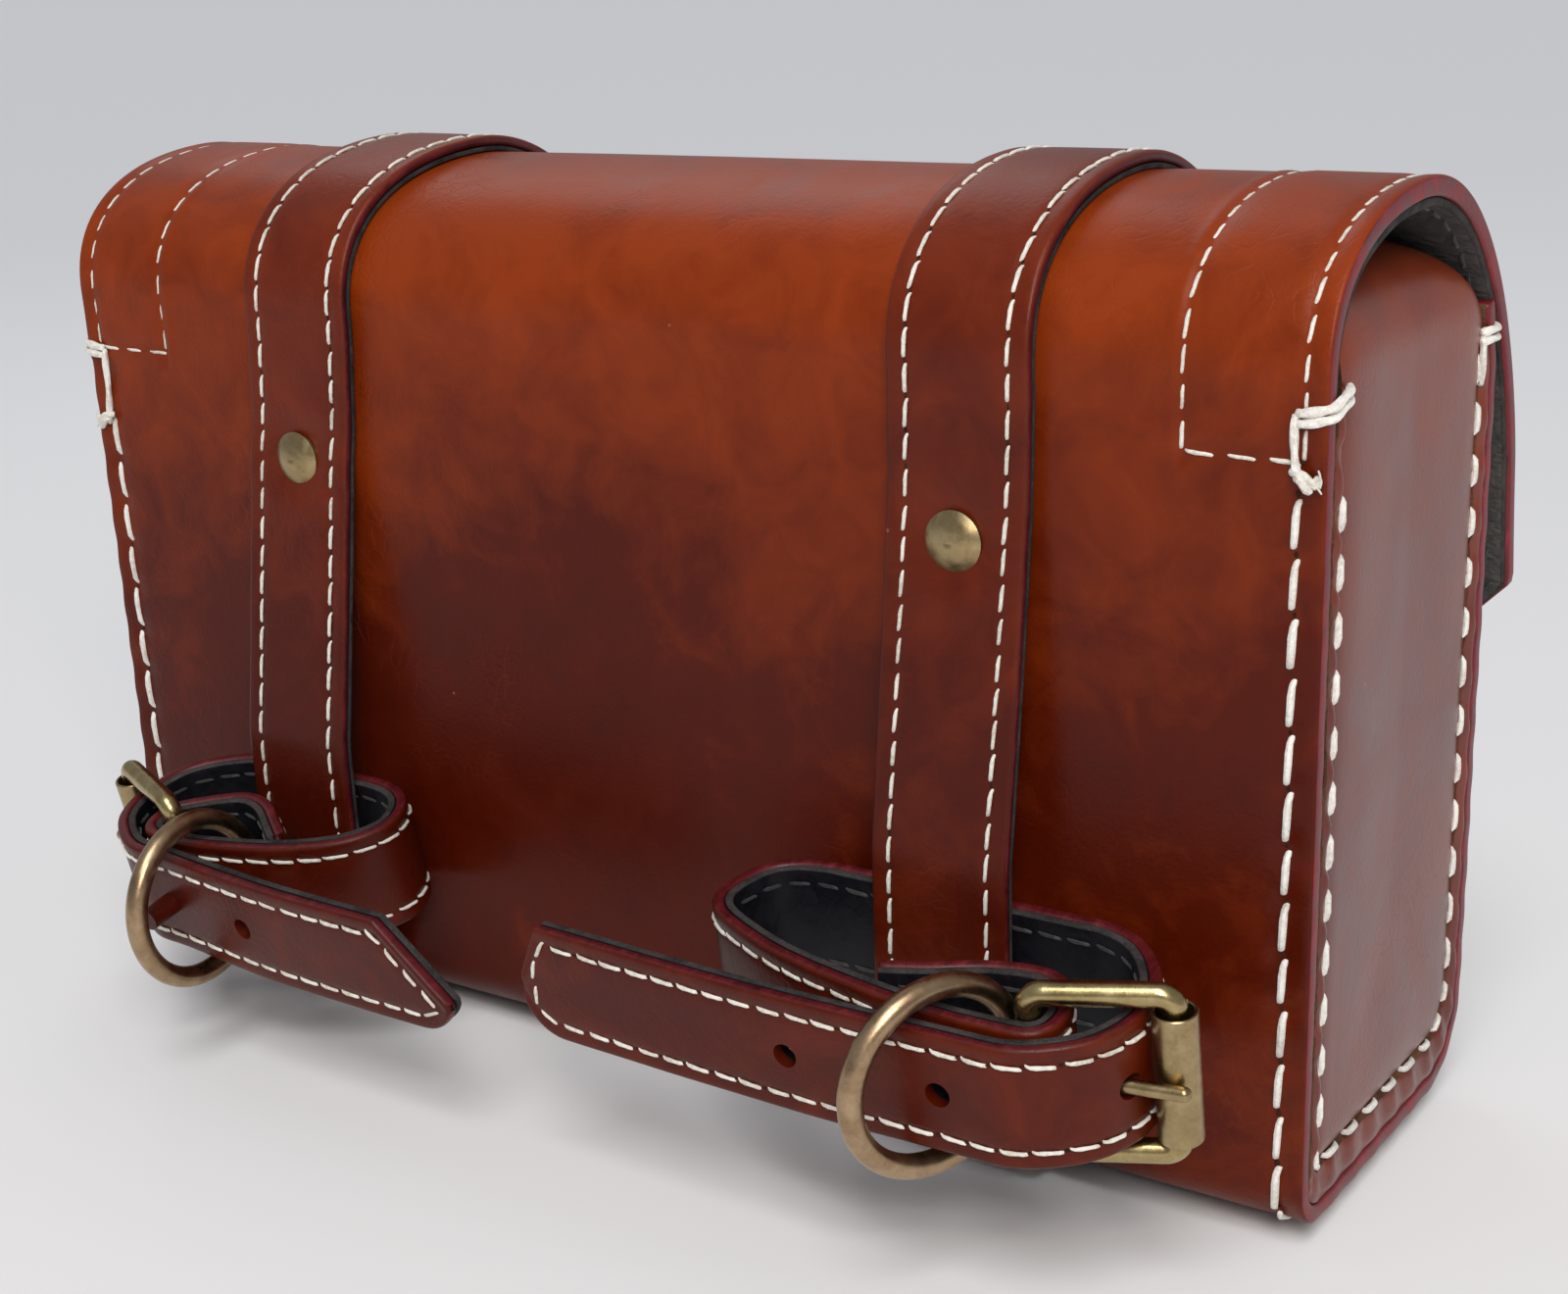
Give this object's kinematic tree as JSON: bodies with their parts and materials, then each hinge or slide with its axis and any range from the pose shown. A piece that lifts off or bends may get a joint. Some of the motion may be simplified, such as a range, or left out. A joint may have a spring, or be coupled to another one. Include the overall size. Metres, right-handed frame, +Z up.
{
  "type": "saddle bag",
  "caption": "Small leather saddle bag with a flap that folds over a boxy body, set-in side gussets, two long straps and two buckled mounting straps with ring keepers.",
  "frame": {"origin": "bottom centre of the bounding box; the bag's own middle lies 12.3 mm towards +Y of it, because the mounting straps reach further than the flap", "axes": "+X to the right seen from the mounting side, -Y the side that faces the bicycle, +Y the flap's front, +Z up"},
  "size_m": [0.26, 0.153, 0.166],
  "materials": {
    "leather": "polished reddish cognac leather with a waxy gloss",
    "strap_leather": "polished cognac strap leather with crimson painted edges",
    "gusset_leather": "thinner moulded cognac leather with a raw edge",
    "backing": "smooth black lining leather with a grey cut edge",
    "strip": "matt dark grey leather",
    "brass": "antique brass, worn and slightly dull",
    "ring_brass": "darker antique brass turning to bronze",
    "thread": "thick waxed off-white linen thread"
  },
  "bodies": {
    "bag": {"body_wrap": "leather", "gusset_left": "gusset_leather", "gusset_right": "gusset_leather", "back_strap_left": "strap_leather", "back_strap_left_backing": "backing", "back_strap_right": "strap_leather", "back_strap_right_backing": "backing", "chape_left": "strap_leather", "chape_right": "strap_leather", "rivet_heads": "brass", "rivet_posts": "brass", "rivet_burrs": "brass", "hand_stitching_left": "thread", "hand_stitching_right": "thread"},
    "flap": {"flap_panel": "leather", "flap_strip_left": "strip", "flap_strip_right": "strip", "closure_strap_left": "strap_leather", "closure_strap_left_backing": "backing", "closure_strap_right": "strap_leather", "closure_strap_right_backing": "backing"},
    "mount_strap_left": {"mounting_strap_left": "strap_leather", "mounting_strap_left_backing": "backing", "mounting_buckle_left": "brass"},
    "mount_roller_left": {"mounting_roller_left": "brass"},
    "mount_prong_left": {"mounting_prong_left": "brass"},
    "ring_left": {"keeper_ring_left": "ring_brass"},
    "front_buckle_left": {"front_buckle_left": "brass"},
    "front_roller_left": {"front_roller_left": "brass"},
    "front_prong_left": {"front_prong_left": "brass"},
    "mount_strap_right": {"mounting_strap_right": "strap_leather", "mounting_strap_right_backing": "backing", "mounting_buckle_right": "brass"},
    "mount_roller_right": {"mounting_roller_right": "brass"},
    "mount_prong_right": {"mounting_prong_right": "brass"},
    "ring_right": {"keeper_ring_right": "ring_brass"},
    "front_buckle_right": {"front_buckle_right": "brass"},
    "front_roller_right": {"front_roller_right": "brass"},
    "front_prong_right": {"front_prong_right": "brass"}
  },
  "joints": [
    {"name": "flap_fold", "type": "hinge", "parent": "bag", "child": "flap", "pos_m": [0, -0.02618, 0.132], "axis": [1, 0, 0], "range_deg": [0, 105]},
    {"name": "mount_strap_right_slide", "type": "slide", "parent": "bag", "child": "mount_strap_right", "axis": [1, 0, 0], "range_m": [-0.004, 0.004]},
    {"name": "mount_roller_right_spin", "type": "hinge", "parent": "mount_strap_right", "child": "mount_roller_right", "pos_m": [0.11896, -0.04516, 0.03942], "axis": [0, -0.1392, 0.9903], "continuous": true},
    {"name": "mount_prong_right_tilt", "type": "hinge", "parent": "mount_strap_right", "child": "mount_prong_right", "pos_m": [0.099, -0.05307, 0.03831], "axis": [0, 0.1392, -0.9903], "range_deg": [0, 3]},
    {"name": "keeper_ring_right_swing", "type": "hinge", "parent": "mount_strap_right", "child": "ring_right", "pos_m": [0.09234, -0.04663, 0.03922], "axis": [0, -0.1392, 0.9903], "range_deg": [-4, 4]},
    {"name": "front_buckle_right_tilt", "type": "hinge", "parent": "bag", "child": "front_buckle_right", "pos_m": [0.071, 0.05317, 0.039], "axis": [-1, 0, 0], "range_deg": [0, 15]},
    {"name": "front_roller_right_spin", "type": "hinge", "parent": "front_buckle_right", "child": "front_roller_right", "pos_m": [0.071, 0.05317, 0.0605], "axis": [1, 0, 0], "continuous": true},
    {"name": "front_prong_right_tilt", "type": "hinge", "parent": "front_buckle_right", "child": "front_prong_right", "pos_m": [0.071, 0.05317, 0.039], "axis": [-1, 0, 0], "range_deg": [0, 10]},
    {"name": "mount_strap_left_slide", "type": "slide", "parent": "bag", "child": "mount_strap_left", "axis": [1, 0, 0], "range_m": [-0.004, 0.004]},
    {"name": "mount_roller_left_spin", "type": "hinge", "parent": "mount_strap_left", "child": "mount_roller_left", "pos_m": [-0.10596, -0.04368, 0.03607], "axis": [0, -0.2079, 0.9781], "continuous": true},
    {"name": "mount_prong_left_tilt", "type": "hinge", "parent": "mount_strap_left", "child": "mount_prong_left", "pos_m": [-0.086, -0.05149, 0.03441], "axis": [0, -0.2079, 0.9781], "range_deg": [0, 3]},
    {"name": "keeper_ring_left_swing", "type": "hinge", "parent": "mount_strap_left", "child": "ring_left", "pos_m": [-0.07629, -0.04486, 0.03582], "axis": [0, -0.2079, 0.9781], "range_deg": [-4, 4]},
    {"name": "front_buckle_left_tilt", "type": "hinge", "parent": "bag", "child": "front_buckle_left", "pos_m": [-0.071, 0.05317, 0.039], "axis": [-1, 0, 0], "range_deg": [0, 15]},
    {"name": "front_roller_left_spin", "type": "hinge", "parent": "front_buckle_left", "child": "front_roller_left", "pos_m": [-0.071, 0.05317, 0.0605], "axis": [1, 0, 0], "continuous": true},
    {"name": "front_prong_left_tilt", "type": "hinge", "parent": "front_buckle_left", "child": "front_prong_left", "pos_m": [-0.071, 0.05317, 0.039], "axis": [-1, 0, 0], "range_deg": [0, 10]}
  ]
}
